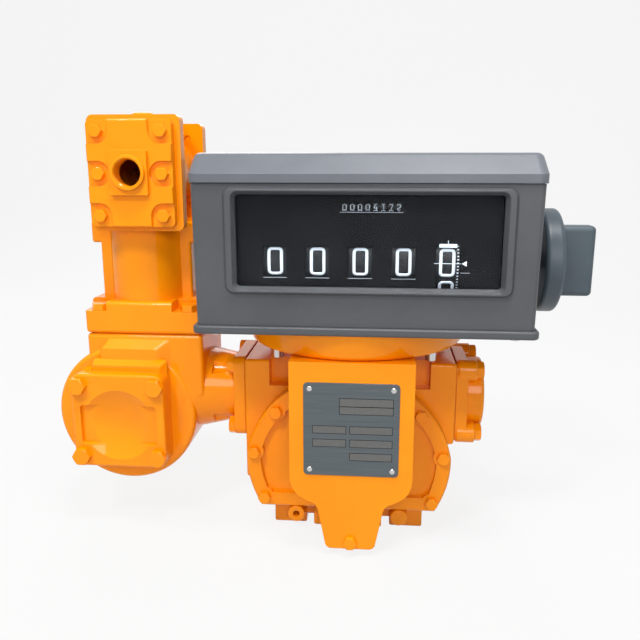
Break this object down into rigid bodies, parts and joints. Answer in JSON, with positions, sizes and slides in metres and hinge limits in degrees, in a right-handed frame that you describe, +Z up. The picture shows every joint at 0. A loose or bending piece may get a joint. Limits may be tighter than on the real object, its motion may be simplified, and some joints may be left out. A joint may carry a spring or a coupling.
{
  "type": "positive displacement liquid meter",
  "caption": "Orange rotary liquid meter with a reset register, round covers, a strainer with an air eliminator on its inlet and a threaded outlet flange.",
  "frame": {"origin": "middle of the meter housing on the plane that its feet stand on, at the centre of the four base bolt holes", "axes": "+X along the flow towards the outlet, -Y towards the dial, +Z up"},
  "size_m": [0.5235, 0.1918, 0.409],
  "materials": {
    "orange_enamel": "gloss enamel over a machined casting",
    "register_enamel": "fine textured semi-gloss paint",
    "lid_enamel": "fine textured semi-gloss paint",
    "dial_black": "satin",
    "figure_black": "satin",
    "window_glass": "polished",
    "plate_aluminium": "brushed",
    "plated_steel": "bright plating",
    "ground_steel": "ground",
    "basket_steel": "satin",
    "rotor_iron": "machined",
    "frame_steel": "plated sheet",
    "gear_case_plastic": "moulded",
    "gland_brass": "turned",
    "gasket_fibre": "matte",
    "knob_plastic": "fine moulded"
  },
  "bodies": {
    "meter": {"adaptor_bowl": "orange_enamel", "air_base_bolts": "orange_enamel", "air_cover_bolts": "orange_enamel", "air_cover_front": "orange_enamel", "air_cover_rear": "orange_enamel", "air_eliminator_body": "orange_enamel", "apron": "orange_enamel", "apron_bolt": "orange_enamel", "cover_bolts": "orange_enamel", "dial_plate": "dial_black", "flange_bolts": "orange_enamel", "float_guide": "ground_steel", "front_bearing_plate": "rotor_iron", "front_cover": "orange_enamel", "gaskets": "gasket_fibre", "inlet_flange": "orange_enamel", "knob_bush": "knob_plastic", "meter_housing": "orange_enamel", "nameplate": "plate_aluminium", "nameplate_rivets": "plated_steel", "outlet_flange": "orange_enamel", "packing_gland": "gland_brass", "plated_screws": "plated_steel", "rear_bearing_plate": "rotor_iron", "rear_cover": "orange_enamel", "register_base": "register_enamel", "register_case": "register_enamel", "register_frame": "frame_steel", "register_gear_case": "gear_case_plastic", "register_lid": "lid_enamel", "strainer_basket": "basket_steel", "strainer_body": "orange_enamel", "strainer_bolts": "orange_enamel", "strainer_cover": "orange_enamel", "total_shaft": "ground_steel", "window": "window_glass"},
    "blocking": {"blocking_rotor": "rotor_iron", "blocking_gear": "ground_steel", "drive_bevel": "ground_steel"},
    "left_displacer": {"left_rotor": "rotor_iron", "left_gear": "ground_steel"},
    "right_displacer": {"right_rotor": "rotor_iron", "right_gear": "ground_steel"},
    "register_drive": {"vertical_shaft": "ground_steel"},
    "units_wheel": {"wheel_shaft": "ground_steel", "figure_wheel_1": "figure_black"},
    "knob": {"reset_knob": "knob_plastic"},
    "float": {"float_can": "basket_steel"},
    "figure_2": {"figure_wheel_2": "figure_black"},
    "figure_3": {"figure_wheel_3": "figure_black"},
    "figure_4": {"figure_wheel_4": "figure_black"},
    "figure_5": {"figure_wheel_5": "figure_black"},
    "total_1": {"total_wheel_1": "figure_black"},
    "total_2": {"total_wheel_2": "figure_black"},
    "total_3": {"total_wheel_3": "figure_black"},
    "total_4": {"total_wheel_4": "figure_black"},
    "total_5": {"total_wheel_5": "figure_black"},
    "total_6": {"total_wheel_6": "figure_black"},
    "total_7": {"total_wheel_7": "figure_black"},
    "total_8": {"total_wheel_8": "figure_black"}
  },
  "joints": [
    {"name": "blocking_spin", "type": "hinge", "parent": "meter", "child": "blocking", "pos_m": [0, 0, 0.10078], "axis": [0, -1, 0], "continuous": true},
    {"name": "left_displacer_spin", "type": "hinge", "parent": "meter", "child": "left_displacer", "pos_m": [-0.046, 0, 0.0725], "axis": [0, -1, 0], "continuous": true},
    {"name": "right_displacer_spin", "type": "hinge", "parent": "meter", "child": "right_displacer", "pos_m": [0.046, 0, 0.0725], "axis": [0, -1, 0], "continuous": true},
    {"name": "register_drive_spin", "type": "hinge", "parent": "meter", "child": "register_drive", "pos_m": [0, -0.084, 0.16], "axis": [0, 0, 1], "continuous": true},
    {"name": "units_wheel_spin", "type": "hinge", "parent": "meter", "child": "units_wheel", "pos_m": [0.0853, -0.051, 0.2778], "axis": [1, 0, 0], "continuous": true},
    {"name": "figure_2_spin", "type": "hinge", "parent": "meter", "child": "figure_2", "pos_m": [0.0481, -0.051, 0.2778], "axis": [1, 0, 0], "continuous": true},
    {"name": "figure_3_spin", "type": "hinge", "parent": "meter", "child": "figure_3", "pos_m": [0.0109, -0.051, 0.2778], "axis": [1, 0, 0], "continuous": true},
    {"name": "figure_4_spin", "type": "hinge", "parent": "meter", "child": "figure_4", "pos_m": [-0.0263, -0.051, 0.2778], "axis": [1, 0, 0], "continuous": true},
    {"name": "figure_5_spin", "type": "hinge", "parent": "meter", "child": "figure_5", "pos_m": [-0.0635, -0.051, 0.2778], "axis": [1, 0, 0], "continuous": true},
    {"name": "total_1_spin", "type": "hinge", "parent": "meter", "child": "total_1", "pos_m": [0.043, -0.089, 0.3248], "axis": [1, 0, 0], "continuous": true},
    {"name": "total_2_spin", "type": "hinge", "parent": "meter", "child": "total_2", "pos_m": [0.0364, -0.089, 0.3248], "axis": [1, 0, 0], "continuous": true},
    {"name": "total_3_spin", "type": "hinge", "parent": "meter", "child": "total_3", "pos_m": [0.0298, -0.089, 0.3248], "axis": [1, 0, 0], "continuous": true},
    {"name": "total_4_spin", "type": "hinge", "parent": "meter", "child": "total_4", "pos_m": [0.0232, -0.089, 0.3248], "axis": [1, 0, 0], "continuous": true},
    {"name": "total_5_spin", "type": "hinge", "parent": "meter", "child": "total_5", "pos_m": [0.0166, -0.089, 0.3248], "axis": [1, 0, 0], "continuous": true},
    {"name": "total_6_spin", "type": "hinge", "parent": "meter", "child": "total_6", "pos_m": [0.01, -0.089, 0.3248], "axis": [1, 0, 0], "continuous": true},
    {"name": "total_7_spin", "type": "hinge", "parent": "meter", "child": "total_7", "pos_m": [0.0034, -0.089, 0.3248], "axis": [1, 0, 0], "continuous": true},
    {"name": "total_8_spin", "type": "hinge", "parent": "meter", "child": "total_8", "pos_m": [-0.0032, -0.089, 0.3248], "axis": [1, 0, 0], "continuous": true},
    {"name": "knob_turn", "type": "hinge", "parent": "meter", "child": "knob", "pos_m": [0.18, -0.025, 0.2716], "axis": [1, 0, 0], "range_deg": [0, 360]},
    {"name": "float_rise", "type": "slide", "parent": "meter", "child": "float", "axis": [0, 0, 1], "range_m": [0, 0.026]}
  ],
  "couplings": [
    {"joint": "left_displacer_spin", "follows": "blocking_spin", "ratio": -2},
    {"joint": "right_displacer_spin", "follows": "blocking_spin", "ratio": -2},
    {"joint": "register_drive_spin", "follows": "blocking_spin", "ratio": 1},
    {"joint": "units_wheel_spin", "follows": "blocking_spin", "ratio": 0.05},
    {"joint": "figure_2_spin", "follows": "blocking_spin", "ratio": 0.005},
    {"joint": "figure_3_spin", "follows": "blocking_spin", "ratio": 0.0005},
    {"joint": "figure_4_spin", "follows": "blocking_spin", "ratio": 0.00005},
    {"joint": "figure_5_spin", "follows": "blocking_spin", "ratio": 0.000005},
    {"joint": "total_1_spin", "follows": "blocking_spin", "ratio": 0.05},
    {"joint": "total_2_spin", "follows": "blocking_spin", "ratio": 0.005},
    {"joint": "total_3_spin", "follows": "blocking_spin", "ratio": 0.0005},
    {"joint": "total_4_spin", "follows": "blocking_spin", "ratio": 0.00005},
    {"joint": "total_5_spin", "follows": "blocking_spin", "ratio": 0.000005},
    {"joint": "total_6_spin", "follows": "blocking_spin", "ratio": 0.0000005},
    {"joint": "total_7_spin", "follows": "blocking_spin", "ratio": 0.00000005},
    {"joint": "total_8_spin", "follows": "blocking_spin", "ratio": 0.000000005}
  ]
}
